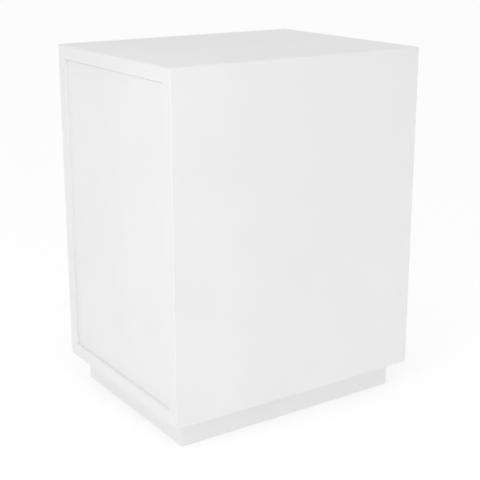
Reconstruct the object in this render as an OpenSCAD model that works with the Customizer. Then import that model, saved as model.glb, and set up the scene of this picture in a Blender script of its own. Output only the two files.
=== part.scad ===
// Display plinth: a mitred, lacquered board box on a recessed kick base.
// One end holds a recessed lift-off access panel, kept by magnetic catches
// and located on two pins. Four levelling feet stand inside the kick base
// and are reached with a key through holes in the deck.
// Millimetres, +Z up, origin on the floor at the centre of the footprint.

/* [Overall] */
// Length of the long side, along X
plinth_w = 510; // [400:5:700]
// Length of the short side, along Y
plinth_d = 400; // [330:5:600]
// Height from the floor to the display surface
plinth_h = 650; // [450:5:1200]

/* [Body boards] */
// Thickness of the top, front, rear, end and deck boards
board_t = 25; // [18:1:30]
// Width of the eased arris along every exposed edge
arris = 1.5; // [0.5:0.5:3]
// Width of the plywood tongues in the mitres
tongue_w = 20; // [14:1:22]
// Thickness of the plywood tongues
tongue_t = 4; // [3:0.5:5]
// Diameter of the beech dowels
dowel_d = 8; // [6:1:10]
// Width and depth of the softwood battens
batten_w = 20; // [16:1:26]

/* [Access panel] */
// Thickness of the access panel
panel_t = 18; // [12:1:22]
// How far the panel's face lies behind the frame around it
panel_recess = 5; // [2:1:10]
// Gap between the panel and the frame, on every side
panel_gap = 0.3; // [0.2:0.1:3]
// Diameter of the two pins that carry the panel
pin_d = 8; // [6:1:10]

/* [Kick base] */
// Height from the floor to the underside of the body
kick_h = 50; // [46:1:100]
// How far the kick boards lie behind the body's faces
kick_inset = 25; // [15:1:60]
// Thickness of the kick boards
kick_t = 18; // [15:1:22]
// Side of the square corner blocks
block_w = 56; // [52:1:70]

/* [Levelling feet] */
// Height of the kick boards above the floor with the feet screwed home
foot_proud = 1; // [0.5:0.5:4]
// Diameter of the foot pads
pad_d = 32; // [25:1:40]
// Diameter of the foot stems, an M10 thread without its ridges
stem_d = 9.8; // [7.8:0.1:9.9]

/* [Hidden] */
$fn = 48;

// Colours
lacquer = [0.93, 0.93, 0.93];
pine = [0.82, 0.68, 0.46];
beech = [0.78, 0.60, 0.42];
birch_ply = [0.80, 0.70, 0.52];
zinc = [0.72, 0.73, 0.75];
nylon_black = [0.12, 0.12, 0.13];
nylon_white = [0.88, 0.87, 0.84];
magnet_grey = [0.25, 0.25, 0.27];

// Body envelope and the space inside it
half_w = plinth_w / 2;
half_d = plinth_d / 2;
inner_y = half_d - board_t;
inner_x = half_w - board_t;
deck_top = kick_h + board_t;
ceiling = plinth_h - board_t;
eps = 0.01;
run_out = 1;

// Wood screws: shank, countersunk head and point
screw_d = 4;
screw_head_d = 8;
screw_head_h = (screw_head_d - screw_d) / 2;
screw_tip = 5;
screw_slot = [4.4, 0.9, 1.4];
screw_fit = 0.1;
screw_sink = 0.2;

// Directions that a screw's point can face, as rotations of a screw that points down
to_down = [0, 0, 0];
to_up = [180, 0, 0];
to_front = [-90, 0, 0];
to_rear = [90, 0, 0];
to_left = [0, 90, 0];
to_right = [0, -90, 0];

// Tongues: how far each lies from the mitre's inner corner, and where it stops short of the ends
tongue_in = 8;
tongue_stop = 30;
tongue_fit = 0.1;
tongue_slack = 0.5;
corner_step = tongue_in * sqrt(0.5);

// Dowels: length, depth in the outer board, clearance
dowel_l = 36;
dowel_bite = 12;
dowel_fit = 0.1;
dowel_slack = 1;
dowel_chamfer = 1;
deck_dowel_z = kick_h + board_t / 2;
deck_dowel_side = 4;
deck_dowel_end = 3;
dowel_edge = 60;

// Battens and stops, screwed to the boards behind them
batten_bite = 14;
batten_screw_l = batten_w + batten_bite;
batten_screw_edge = 50;
panel_front_x = -half_w + panel_recess;
panel_back_x = panel_front_x + panel_t;
stop_clear = 0.3;
stop_x = panel_back_x + stop_clear;
stop_back_x = stop_x + batten_w;

// Access panel opening
open_half_y = inner_y;
open_low = deck_top;
open_high = ceiling;
panel_arris = 0.5;

// Magnetic catches beside the upright stops
catch_h = 46;
catch_w = 15;
catch_depth = 14;
catch_from_end = 90;
catch_bite = 12;
catch_screw_step = 17;
catch_wall = 2;
strike_h = 38;
strike_w = 12;
strike_t = 1.5;
strike_gap = 0.2;
strike_screw_l = 14;
strike_screw_step = 12;
pole_t = 1.5;
pole_h = 24;
pole_proud = 0.5;
pole_depth = 10;
magnet_w = 5;
small_screw_d = 3;
small_head_d = 6;
pole_x = panel_back_x + strike_t + strike_gap;
catch_x = pole_x + pole_proud;
catch_y = inner_y - batten_w;
catch_low = deck_top + catch_from_end;
catch_high = ceiling - catch_from_end;

// Pins that carry the panel, and their bushes in its back
pin_from_side = 55;
pin_hold = 18;
pin_reach = 10;
pin_fit = 0.1;
pin_tip = 1.5;
pin_y = inner_y - pin_from_side;
pin_z = deck_top + batten_w / 2;
bush_wall = 2;
bush_l = 12;
bush_play = 0.3;
bush_fit = 0.05;
bush_d = pin_d + 2 * bush_play + 2 * bush_wall;

// Kick base
kick_x = half_w - kick_inset;
kick_y = half_d - kick_inset;
kick_in_x = kick_x - kick_t;
kick_in_y = kick_y - kick_t;
stretcher_t = 18;
stretcher_h = 38;
stretcher_dowel_z = kick_h - stretcher_h / 2;
stretcher_dowel_step = 9;
stretcher_dowel_d = 6;
stretcher_dowel_l = 30;
stretcher_dowel_bite = 10;

// Levelling feet: pad, hexagon collar, stem and the tee nut over them
pad_h = 6;
pad_edge = 1.5;
collar_af = 15;
collar_h = 6;
spigot_d = 8;
spigot_h = 4;
spigot_fit = 0.2;
foot_gap = 0.3;
flange_d = 24;
flange_t = 1.5;
barrel_d = 12;
barrel_h = 11;
barrel_fit = 0.1;
nut_bore = 10;
key_af = 5;
key_depth = 8;
stem_below_deck = 0.5;
key_hole_d = 14;
stem_hole_d = 11;
foot_h = pad_h + collar_h;
nut_z = foot_h + foot_gap;
block_z = nut_z + flange_t;
block_h = kick_h - block_z;
stem_top = kick_h - stem_below_deck;
foot_x = kick_in_x - block_w / 2;
foot_y = kick_in_y - block_w / 2;

// Screws from the blocks into the kick boards, and from the deck into the blocks
block_sink = 18;
block_sink_d = 9;
block_bite = 11;
block_screw_off = 12;
block_screw_l = block_w - block_sink + block_bite;
base_bite = 22;
base_screw_l = board_t + base_bite;
base_screw_edge = 8;
base_screw_off = block_w / 2 - base_screw_edge;
stretcher_screw_y = kick_in_y / 3;

// Corners as [side along X, side along Y]
front_left = [-1, -1];
front_right = [1, -1];
rear_left = [-1, 1];
rear_right = [1, 1];
corners = [front_left, front_right, rear_left, rear_right];

// Evenly spaced positions from one value to another
function spread(a, b, count) = [for (i = [0:count - 1]) a + (b - a) * i / (count - 1)];

// Screw positions: [point of the head, direction of the point]
batten_screws_at = [
    for (s = [-1, 1], z = spread(deck_top + batten_screw_edge, ceiling - batten_w - batten_screw_edge, 3))
        [[inner_x - batten_w / 2, s * (inner_y - batten_w), z], s < 0 ? to_front : to_rear],
    for (s = [-1, 1], x = spread(stop_back_x + batten_screw_edge, inner_x - batten_screw_edge, 3))
        [[x, s * (inner_y - batten_w / 2), ceiling - batten_w], to_up],
    for (y = spread(-inner_y + batten_w + batten_screw_edge, inner_y - batten_w - batten_screw_edge, 3))
        [[inner_x - batten_w / 2, y, ceiling - batten_w], to_up]
];
stop_screws_at = [
    for (s = [-1, 1], z = spread(deck_top + batten_screw_edge, ceiling - batten_screw_edge, 4))
        [[stop_x + batten_w / 2, s * (inner_y - batten_w), z], s < 0 ? to_front : to_rear],
    for (y = spread(-inner_y + batten_w + batten_screw_edge, inner_y - batten_w - batten_screw_edge, 3))
        [[stop_x + batten_w / 2, y, ceiling - batten_w], to_up],
    for (y = spread(-pin_y + batten_screw_edge, pin_y - batten_screw_edge, 3))
        [[stop_x + batten_w / 2, y, deck_top + batten_w], to_down]
];
block_screws_at = [
    for (c = corners, s = [-1, 1])
        [[c.x * (kick_in_x - block_w + block_sink), c.y * foot_y + s * block_screw_off, block_z + block_h * 2 / 3],
         c.x < 0 ? to_left : to_right],
    for (c = corners, s = [-1, 1])
        [[c.x * foot_x + s * block_screw_off, c.y * (kick_in_y - block_w + block_sink), block_z + block_h / 3],
         c.y < 0 ? to_front : to_rear]
];
base_screws_at = [
    for (c = corners, s = [-1, 1])
        [[c.x * foot_x + s * base_screw_off, c.y * foot_y + s * c.x * c.y * base_screw_off, deck_top], to_down],
    for (s = [-1, 1]) [[0, s * stretcher_screw_y, deck_top], to_down]
];
catches_at = [
    [-1, catch_high], [-1, catch_low],
    [1, catch_high], [1, catch_low]
];
strikes_at = [
    for (place = catches_at, s = [-1, 1])
        [[panel_back_x + strike_t, place[0] * (catch_y - catch_w / 2), place[1] + s * strike_screw_step], to_left]
];

// Outlines drawn in a plane and extruded along the third axis
module along_x(x0, x1, outline) {
    translate([x0, 0, 0])
        rotate([90, 0, 90])
            linear_extrude(x1 - x0)
                polygon(outline);
}

module along_y(y0, y1, outline) {
    translate([0, y1, 0])
        rotate([90, 0, 0])
            linear_extrude(y1 - y0)
                polygon(outline);
}

module along_z(z0, z1, outline) {
    translate([0, 0, z0])
        linear_extrude(z1 - z0)
            polygon(outline);
}

function eased_outline(a0, b0, a1, b1, e) = [
    [a0 + e, b0], [a1 - e, b0], [a1, b0 + e], [a1, b1 - e],
    [a1 - e, b1], [a0 + e, b1], [a0, b1 - e], [a0, b0 + e]
];

// A block with every edge eased, as three crossed extrusions
module eased_block(low, high, e) {
    intersection() {
        along_z(low.z, high.z, eased_outline(low.x, low.y, high.x, high.y, e));
        along_y(low.y, high.y, eased_outline(low.x, low.z, high.x, high.z, e));
        along_x(low.x, high.x, eased_outline(low.y, low.z, high.y, high.z, e));
    }
}

module block(low, high) {
    translate(low)
        cube(high - low);
}

module body_envelope() {
    eased_block([-half_w, -half_d, kick_h], [half_w, half_d, plinth_h], arris);
}

// Hardware

module screw(length, d, head_d, grow = 0, slot = true) {
    head_h = (head_d - d) / 2;
    difference() {
        union() {
            translate([0, 0, -head_h - grow])
                cylinder(h = head_h + grow, d1 = d + 2 * grow, d2 = head_d + 4 * grow);
            translate([0, 0, screw_tip - length - eps])
                cylinder(h = length - screw_tip - head_h + 2 * eps, d = d + 2 * grow);
            translate([0, 0, -length - grow])
                cylinder(h = screw_tip + grow, d1 = 1 + 2 * grow, d2 = d + 2 * grow);
        }
        if (slot)
            for (turn = [0, 90])
                rotate([0, 0, turn])
                    translate([-screw_slot.x / 2, -screw_slot.y / 2, -screw_slot.z])
                        cube([screw_slot.x, screw_slot.y, screw_slot.z + 1]);
    }
}

module screws(places, length, d = screw_d, head_d = screw_head_d) {
    for (p = places)
        translate(p[0])
            rotate(p[1])
                translate([0, 0, -screw_sink])
                    screw(length - screw_sink, d, head_d);
}

module screw_holes(places, length, d = screw_d, head_d = screw_head_d) {
    for (p = places)
        translate(p[0])
            rotate(p[1]) {
                translate([0, 0, -screw_sink])
                    screw(length - screw_sink, d, head_d, grow = screw_fit, slot = false);
                translate([0, 0, -screw_sink - eps])
                    cylinder(h = screw_sink + run_out, d = head_d + 4 * screw_fit);
            }
}

module dowel(d, length) {
    cylinder(h = dowel_chamfer, d1 = d - 2 * dowel_chamfer, d2 = d);
    translate([0, 0, dowel_chamfer])
        cylinder(h = length - 2 * dowel_chamfer, d = d);
    translate([0, 0, length - dowel_chamfer])
        cylinder(h = dowel_chamfer, d1 = d, d2 = d - 2 * dowel_chamfer);
}

// Dowels between the deck and the front, rear and end boards
module deck_dowel_places() {
    for (s = [-1, 1], x = spread(-half_w + dowel_edge, inner_x - dowel_edge, deck_dowel_side))
        translate([x, s * (inner_y + dowel_bite), deck_dowel_z])
            rotate(s < 0 ? [-90, 0, 0] : [90, 0, 0])
                children();
    for (y = spread(-inner_y + dowel_edge, inner_y - dowel_edge, deck_dowel_end))
        translate([inner_x + dowel_bite, y, deck_dowel_z])
            rotate([0, -90, 0])
                children();
}

module deck_dowel_holes() {
    deck_dowel_places()
        translate([0, 0, -dowel_slack])
            cylinder(h = dowel_l + 2 * dowel_slack, d = dowel_d + 2 * dowel_fit);
}

// Tongues in the mitres: one along each glued mitre, short of both ends

module tongue_bar(size, along, fit) {
    grow = fit > 0 ? tongue_slack : 0;
    w = tongue_w + 2 * grow;
    t = tongue_t + 2 * fit;
    cube(along == "x" ? [size + 2 * grow, w, t] : along == "y" ? [w, size + 2 * grow, t] : [w, t, size + 2 * grow],
         center = true);
}

module top_side_tongue(side, fit = 0) {
    x0 = -half_w + tongue_stop;
    x1 = inner_x - tongue_stop;
    translate([(x0 + x1) / 2, side * (inner_y + corner_step), ceiling + corner_step])
        rotate([-side * 45, 0, 0])
            tongue_bar(x1 - x0, "x", fit);
}

module top_end_tongue(fit = 0) {
    translate([inner_x + corner_step, 0, ceiling + corner_step])
        rotate([0, 45, 0])
            tongue_bar(2 * (inner_y - tongue_stop), "y", fit);
}

module end_side_tongue(side, fit = 0) {
    z0 = kick_h + tongue_stop;
    z1 = ceiling - tongue_stop;
    translate([inner_x + corner_step, side * (inner_y + corner_step), (z0 + z1) / 2])
        rotate([0, 0, -side * 45])
            tongue_bar(z1 - z0, "z", fit);
}

// Body boards

function mitred_plan(s) = [
    [-half_w, s * half_d], [half_w, s * half_d], [inner_x, s * inner_y], [-half_w, s * inner_y]
];

module top_panel() {
    color(lacquer)
        difference() {
            intersection() {
                body_envelope();
                along_x(-half_w, half_w, [
                    [-half_d, plinth_h], [half_d, plinth_h], [inner_y, ceiling], [-inner_y, ceiling]
                ]);
                along_y(-half_d, half_d, [
                    [-half_w, plinth_h], [half_w, plinth_h], [inner_x, ceiling], [-half_w, ceiling]
                ]);
            }
            for (side = [-1, 1])
                top_side_tongue(side, tongue_fit);
            top_end_tongue(tongue_fit);
            screw_holes(batten_screws_at, batten_screw_l);
            screw_holes(stop_screws_at, batten_screw_l);
        }
}

module side_board(side) {
    color(lacquer)
        difference() {
            intersection() {
                body_envelope();
                along_z(kick_h, plinth_h, mitred_plan(side));
                along_x(-half_w, half_w, [
                    [side * half_d, kick_h], [side * half_d, plinth_h],
                    [side * inner_y, ceiling], [side * inner_y, kick_h]
                ]);
            }
            top_side_tongue(side, tongue_fit);
            end_side_tongue(side, tongue_fit);
            deck_dowel_holes();
            screw_holes(batten_screws_at, batten_screw_l);
            screw_holes(stop_screws_at, batten_screw_l);
        }
}

module end_panel() {
    color(lacquer)
        difference() {
            intersection() {
                body_envelope();
                along_z(kick_h, plinth_h, [
                    [half_w, -half_d], [half_w, half_d], [inner_x, inner_y], [inner_x, -inner_y]
                ]);
                along_y(-half_d, half_d, [
                    [half_w, kick_h], [half_w, plinth_h], [inner_x, ceiling], [inner_x, kick_h]
                ]);
            }
            top_end_tongue(tongue_fit);
            for (side = [-1, 1])
                end_side_tongue(side, tongue_fit);
            deck_dowel_holes();
            screw_holes(batten_screws_at, batten_screw_l);
        }
}

module deck() {
    color(lacquer)
        difference() {
            intersection() {
                body_envelope();
                block([-half_w, -inner_y, kick_h], [inner_x, inner_y, deck_top]);
            }
            deck_dowel_holes();
            screw_holes(stop_screws_at, batten_screw_l);
            screw_holes(base_screws_at, base_screw_l);
            for (c = corners)
                translate([c.x * foot_x, c.y * foot_y, kick_h - run_out])
                    cylinder(h = board_t + 2 * run_out, d = key_hole_d);
        }
}

module deck_dowels() {
    color(beech)
        deck_dowel_places()
            dowel(dowel_d, dowel_l);
}

module tongue_top_front() {
    color(birch_ply)
        top_side_tongue(-1);
}

module tongue_top_rear() {
    color(birch_ply)
        top_side_tongue(1);
}

module tongue_top_end() {
    color(birch_ply)
        top_end_tongue();
}

module tongue_front_end() {
    color(birch_ply)
        end_side_tongue(-1);
}

module tongue_rear_end() {
    color(birch_ply)
        end_side_tongue(1);
}

// Battens inside the glued corners

module corner_batten(side) {
    color(pine)
        difference() {
            block([inner_x - batten_w, side < 0 ? -inner_y : inner_y - batten_w, deck_top],
                  [inner_x, side < 0 ? batten_w - inner_y : inner_y, ceiling - batten_w]);
            screw_holes(batten_screws_at, batten_screw_l);
        }
}

module top_batten(side) {
    color(pine)
        difference() {
            block([stop_back_x, side < 0 ? -inner_y : inner_y - batten_w, ceiling - batten_w],
                  [inner_x, side < 0 ? batten_w - inner_y : inner_y, ceiling]);
            screw_holes(batten_screws_at, batten_screw_l);
        }
}

module top_batten_end() {
    color(pine)
        difference() {
            block([inner_x - batten_w, batten_w - inner_y, ceiling - batten_w],
                  [inner_x, inner_y - batten_w, ceiling]);
            screw_holes(batten_screws_at, batten_screw_l);
        }
}

module batten_screws() {
    color(zinc)
        screws(batten_screws_at, batten_screw_l);
}

// Stops behind the access panel

module upright_stop(side) {
    color(pine)
        difference() {
            block([stop_x, side < 0 ? -inner_y : inner_y - batten_w, deck_top],
                  [stop_back_x, side < 0 ? batten_w - inner_y : inner_y, ceiling]);
            screw_holes(stop_screws_at, batten_screw_l);
            catch_screw_holes();
        }
}

module stop_top() {
    color(pine)
        difference() {
            block([stop_x, batten_w - inner_y, ceiling - batten_w], [stop_back_x, inner_y - batten_w, ceiling]);
            screw_holes(stop_screws_at, batten_screw_l);
        }
}

module stop_bottom() {
    color(pine)
        difference() {
            block([stop_x, batten_w - inner_y, deck_top], [stop_back_x, inner_y - batten_w, deck_top + batten_w]);
            screw_holes(stop_screws_at, batten_screw_l);
            for (s = [-1, 1])
                translate([stop_x - run_out, s * pin_y, pin_z])
                    rotate([0, 90, 0])
                        cylinder(h = pin_hold + run_out, d = pin_d + 2 * pin_fit);
        }
}

module stop_screws() {
    color(zinc)
        screws(stop_screws_at, batten_screw_l);
}

// Magnetic catches: housing, magnet between two pole plates, and two screws

module at_catch(place) {
    translate([catch_x, place[0] * catch_y, place[1]])
        scale_y(place[0])
            children();
}

module scale_y(side) {
    if (side < 0)
        children();
    else
        mirror([0, 1, 0])
            children();
}

module catch_housing(place) {
    color(nylon_white)
        at_catch(place)
            difference() {
                translate([0, 0, -catch_h / 2])
                    cube([catch_depth, catch_w, catch_h]);
                translate([-run_out, (catch_w - magnet_w) / 2 - pole_t, -pole_h / 2])
                    cube([pole_depth + run_out, magnet_w + 2 * pole_t, pole_h]);
                catch_local_screws()
                    screw_hole_shape(catch_w + catch_bite);
            }
}

// Places of a catch's two screws in its own frame, pointing at the stop
module catch_local_screws() {
    for (s = [-1, 1])
        translate([catch_depth / 2, catch_w, s * catch_screw_step])
            rotate(to_front)
                children();
}

module screw_hole_shape(length) {
    translate([0, 0, -screw_sink])
        screw(length - screw_sink, small_screw_d, small_head_d, grow = screw_fit, slot = false);
    translate([0, 0, -screw_sink - eps])
        cylinder(h = screw_sink + run_out, d = small_head_d + 4 * screw_fit);
}

module catch_screw_holes() {
    for (place = catches_at)
        at_catch(place)
            catch_local_screws()
                screw_hole_shape(catch_w + catch_bite);
}

module catch_magnets() {
    color(magnet_grey)
        for (place = catches_at)
            at_catch(place)
                translate([0, (catch_w - magnet_w) / 2, -pole_h / 2])
                    cube([pole_depth, magnet_w, pole_h]);
}

module catch_poles() {
    color(zinc)
        for (place = catches_at, side = [0, 1])
            at_catch(place)
                translate([-pole_proud, (catch_w - magnet_w) / 2 - pole_t + side * (magnet_w + pole_t), -pole_h / 2])
                    cube([pole_depth + pole_proud, pole_t, pole_h]);
}

module catch_screws() {
    color(zinc)
        for (place = catches_at)
            at_catch(place)
                catch_local_screws()
                    translate([0, 0, -screw_sink])
                        screw(catch_w + catch_bite - screw_sink, small_screw_d, small_head_d);
}

// Pins in the bottom stop that carry the panel
module locating_pins() {
    color(zinc)
        for (s = [-1, 1])
            translate([stop_x + pin_hold, s * pin_y, pin_z])
                rotate([0, -90, 0]) {
                    length = pin_hold + stop_clear + pin_reach;
                    cylinder(h = length - pin_tip, d = pin_d);
                    translate([0, 0, length - pin_tip])
                        cylinder(h = pin_tip, d1 = pin_d, d2 = pin_d - 2 * pin_tip);
                }
}

// Access panel and what is fixed to it

module access_panel() {
    y = open_half_y - panel_gap;
    color(lacquer)
        difference() {
            intersection() {
                eased_block([panel_front_x, -y, open_low + panel_gap],
                            [panel_back_x + panel_arris, y, open_high - panel_gap], panel_arris);
                block([panel_front_x, -y, open_low], [panel_back_x, y, open_high]);
            }
            screw_holes(strikes_at, strike_screw_l, small_screw_d, small_head_d);
            for (s = [-1, 1])
                translate([panel_back_x - bush_l, s * pin_y, pin_z])
                    rotate([0, 90, 0])
                        cylinder(h = bush_l + run_out, d = bush_d + 2 * bush_fit);
        }
}

module strike_plates() {
    color(zinc)
        difference() {
            for (place = catches_at)
                translate([panel_back_x, place[0] * (catch_y - catch_w / 2) - strike_w / 2, place[1] - strike_h / 2])
                    cube([strike_t, strike_w, strike_h]);
            screw_holes(strikes_at, strike_screw_l, small_screw_d, small_head_d);
        }
}

module strike_screws() {
    color(zinc)
        screws(strikes_at, strike_screw_l, small_screw_d, small_head_d);
}

module pin_bushes() {
    color(nylon_white)
        for (s = [-1, 1])
            translate([panel_back_x - bush_l, s * pin_y, pin_z])
                rotate([0, 90, 0])
                    difference() {
                        cylinder(h = bush_l, d = bush_d);
                        translate([0, 0, bush_wall / 2])
                            cylinder(h = bush_l, d = pin_d + 2 * bush_play);
                    }
}

// Kick base: four mitred boards, a stretcher and four corner blocks

module kick_envelope() {
    eased_block([-kick_x, -kick_y, foot_proud], [kick_x, kick_y, kick_h + arris], arris);
}

module kick_long(side) {
    color(lacquer)
        difference() {
            intersection() {
                kick_envelope();
                along_z(foot_proud, kick_h, [
                    [-kick_x, side * kick_y], [kick_x, side * kick_y],
                    [kick_in_x, side * kick_in_y], [-kick_in_x, side * kick_in_y]
                ]);
            }
            screw_holes(block_screws_at, block_screw_l);
            stretcher_dowel_holes();
        }
}

module kick_short(side) {
    color(lacquer)
        difference() {
            intersection() {
                kick_envelope();
                along_z(foot_proud, kick_h, [
                    [side * kick_x, -kick_y], [side * kick_x, kick_y],
                    [side * kick_in_x, kick_in_y], [side * kick_in_x, -kick_in_y]
                ]);
            }
            screw_holes(block_screws_at, block_screw_l);
        }
}

module stretcher_dowel_places() {
    for (end = [-1, 1], s = [-1, 1])
        translate([0, end * (kick_in_y + stretcher_dowel_bite), stretcher_dowel_z + s * stretcher_dowel_step])
            rotate(end < 0 ? [-90, 0, 0] : [90, 0, 0])
                children();
}

module stretcher_dowel_holes() {
    stretcher_dowel_places()
        translate([0, 0, -dowel_slack])
            cylinder(h = stretcher_dowel_l + 2 * dowel_slack, d = stretcher_dowel_d + 2 * dowel_fit);
}

module stretcher_dowels() {
    color(beech)
        stretcher_dowel_places()
            dowel(stretcher_dowel_d, stretcher_dowel_l);
}

module kick_stretcher() {
    color(pine)
        difference() {
            block([-stretcher_t / 2, -kick_in_y, kick_h - stretcher_h], [stretcher_t / 2, kick_in_y, kick_h]);
            stretcher_dowel_holes();
            screw_holes(base_screws_at, base_screw_l);
        }
}

// A block fills each inner corner and carries a levelling foot
module corner_block(c) {
    color(pine)
        difference() {
            translate([c.x * foot_x - block_w / 2, c.y * foot_y - block_w / 2, block_z])
                cube([block_w, block_w, block_h]);
            translate([c.x * foot_x, c.y * foot_y, block_z - run_out]) {
                cylinder(h = barrel_h + run_out + foot_gap, d = barrel_d + 2 * barrel_fit);
                cylinder(h = block_h + 2 * run_out, d = stem_hole_d);
            }
            screw_holes(block_screws_at, block_screw_l);
            for (p = block_screws_at)
                translate(p[0])
                    rotate(p[1])
                        translate([0, 0, -eps])
                            cylinder(h = block_sink + run_out, d = block_sink_d);
            screw_holes(base_screws_at, base_screw_l);
        }
}

module block_screws() {
    color(zinc)
        screws(block_screws_at, block_screw_l);
}

module base_screws() {
    color(zinc)
        screws(base_screws_at, base_screw_l);
}

module tee_nuts() {
    color(zinc)
        for (c = corners)
            translate([c.x * foot_x, c.y * foot_y, nut_z])
                difference() {
                    union() {
                        cylinder(h = flange_t, d = flange_d);
                        cylinder(h = flange_t + barrel_h, d = barrel_d);
                    }
                    translate([0, 0, -run_out])
                        cylinder(h = flange_t + barrel_h + 2 * run_out, d = nut_bore);
                }
}

// Levelling feet

module foot_pad(c) {
    color(nylon_black)
        translate([c.x * foot_x, c.y * foot_y, 0])
            difference() {
                union() {
                    cylinder(h = pad_edge, d1 = pad_d - 2 * pad_edge, d2 = pad_d);
                    translate([0, 0, pad_edge])
                        cylinder(h = pad_h - pad_edge, d = pad_d);
                }
                translate([0, 0, pad_h - spigot_h - spigot_fit])
                    cylinder(h = spigot_h + spigot_fit + run_out, d = spigot_d + 2 * spigot_fit);
            }
}

module foot_stem(c) {
    color(zinc)
        translate([c.x * foot_x, c.y * foot_y, 0])
            difference() {
                union() {
                    translate([0, 0, pad_h - spigot_h])
                        cylinder(h = spigot_h + eps, d = spigot_d);
                    translate([0, 0, pad_h])
                        cylinder(h = collar_h, d = collar_af / cos(30), $fn = 6);
                    translate([0, 0, foot_h - eps])
                        cylinder(h = stem_top - foot_h + eps, d = stem_d);
                }
                translate([0, 0, stem_top - key_depth])
                    cylinder(h = key_depth + run_out, d = key_af / cos(30), $fn = 6);
            }
}

top_panel();
side_board(-1);  // front_panel
side_board(1);  // rear_panel
end_panel();
deck();
tongue_top_front();
tongue_top_rear();
tongue_top_end();
tongue_front_end();
tongue_rear_end();
deck_dowels();
corner_batten(-1);  // corner_batten_front
corner_batten(1);  // corner_batten_rear
top_batten(-1);  // top_batten_front
top_batten(1);  // top_batten_rear
top_batten_end();
batten_screws();
upright_stop(-1);  // stop_front
upright_stop(1);  // stop_rear
stop_top();
stop_bottom();
stop_screws();
catch_housing(catches_at[0]);  // catch_front_upper
catch_housing(catches_at[1]);  // catch_front_lower
catch_housing(catches_at[2]);  // catch_rear_upper
catch_housing(catches_at[3]);  // catch_rear_lower
catch_magnets();
catch_poles();
catch_screws();
locating_pins();
access_panel();
strike_plates();
strike_screws();
pin_bushes();
kick_long(-1);  // kick_front
kick_long(1);  // kick_rear
kick_short(-1);  // kick_left
kick_short(1);  // kick_right
kick_stretcher();
stretcher_dowels();
corner_block(front_left);  // block_front_left
corner_block(front_right);  // block_front_right
corner_block(rear_left);  // block_rear_left
corner_block(rear_right);  // block_rear_right
block_screws();
base_screws();
tee_nuts();
foot_pad(front_left);  // pad_front_left
foot_pad(front_right);  // pad_front_right
foot_pad(rear_left);  // pad_rear_left
foot_pad(rear_right);  // pad_rear_right
foot_stem(front_left);  // stem_front_left
foot_stem(front_right);  // stem_front_right
foot_stem(rear_left);  // stem_rear_left
foot_stem(rear_right);  // stem_rear_right
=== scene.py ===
"""Display plinth: lacquered boards mitred into a box, on a recessed kick base.

One end is open behind a lift-off access panel, kept by magnetic catches and carried on two pins.
Every piece is built in place, in metres, from the boxes of the frame, and rides on the body that
its frame node belongs to.
"""

import math

import bmesh
import bpy
from mathutils import Matrix, Vector


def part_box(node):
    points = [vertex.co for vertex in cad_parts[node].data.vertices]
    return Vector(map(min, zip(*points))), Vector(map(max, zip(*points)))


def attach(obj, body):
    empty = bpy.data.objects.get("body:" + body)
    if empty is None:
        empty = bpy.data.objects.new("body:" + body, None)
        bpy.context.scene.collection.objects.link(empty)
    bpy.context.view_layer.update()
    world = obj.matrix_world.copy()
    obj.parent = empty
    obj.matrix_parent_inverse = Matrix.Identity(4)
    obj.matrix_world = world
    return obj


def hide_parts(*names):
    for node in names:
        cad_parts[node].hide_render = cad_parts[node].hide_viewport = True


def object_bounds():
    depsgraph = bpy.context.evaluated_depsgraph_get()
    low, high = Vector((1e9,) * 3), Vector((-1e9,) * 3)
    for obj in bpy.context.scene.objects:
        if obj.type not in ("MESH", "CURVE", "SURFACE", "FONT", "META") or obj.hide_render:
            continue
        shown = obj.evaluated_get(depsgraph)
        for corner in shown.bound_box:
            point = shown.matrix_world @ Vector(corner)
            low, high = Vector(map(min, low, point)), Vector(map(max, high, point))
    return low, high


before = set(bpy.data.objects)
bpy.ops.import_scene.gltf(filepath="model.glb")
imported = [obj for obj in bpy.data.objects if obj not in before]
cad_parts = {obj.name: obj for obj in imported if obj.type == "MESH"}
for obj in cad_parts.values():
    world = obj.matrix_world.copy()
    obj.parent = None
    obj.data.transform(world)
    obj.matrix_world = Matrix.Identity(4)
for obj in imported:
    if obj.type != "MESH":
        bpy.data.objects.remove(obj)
cad_low, cad_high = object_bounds()

MM = 0.001
WELD = 1e-6
NEAR = 1e-5
AXES = "xyz"

# Corners that the frame gives
deck_low, deck_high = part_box("deck")
top_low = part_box("top_panel")[0]
panel_low, panel_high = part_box("access_panel")
body_low = Vector((cad_low.x, cad_low.y, deck_low.z))
body_high = cad_high
inside_low = Vector((cad_low.x, deck_low.y, deck_high.z))
inside_high = Vector((deck_high.x, deck_high.y, top_low.z))
# The kick base is symmetric, so its front and right boards give all of it
kick_front_low, kick_front_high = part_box("kick_front")
kick_right_low, kick_right_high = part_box("kick_right")
base_low = Vector((-kick_right_high.x, kick_front_low.y, kick_front_low.z))
base_high = Vector((kick_right_high.x, -kick_front_low.y, kick_front_high.z))
base_inside = Vector((kick_right_low.x, -kick_front_high.y))

# Roundings of the edges
ARRIS = 1.6 * MM
MOUTH_ARRIS = 0.5 * MM
PANEL_ARRIS = 0.25 * MM
TIMBER_ARRIS = 1.0 * MM
CATCH_ARRIS = 1.2 * MM
PLATE_ARRIS = 0.25 * MM
# An edge that turns more than this stays sharp in the shading
SHARP = math.radians(33)

# A hole is wider than its peg by this all round
FIT = 0.1 * MM
# A cutting shape goes past the face that it opens by this
REACH = 1.0 * MM
# A cutting shape that takes in whole boards goes this far past them
MARGIN = 20 * MM

# Steps round a full circle, from plain holes to the parts that are looked at closely
COARSE, PLAIN, FINE, FINEST = 32, 48, 64, 96
HEXAGON = 6

# Half the width of a thread's ridge at its root and at its crest, as a share of its pitch
RIDGE_ROOT = 0.4
RIDGE_CREST = 0.06


# Meshes

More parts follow.
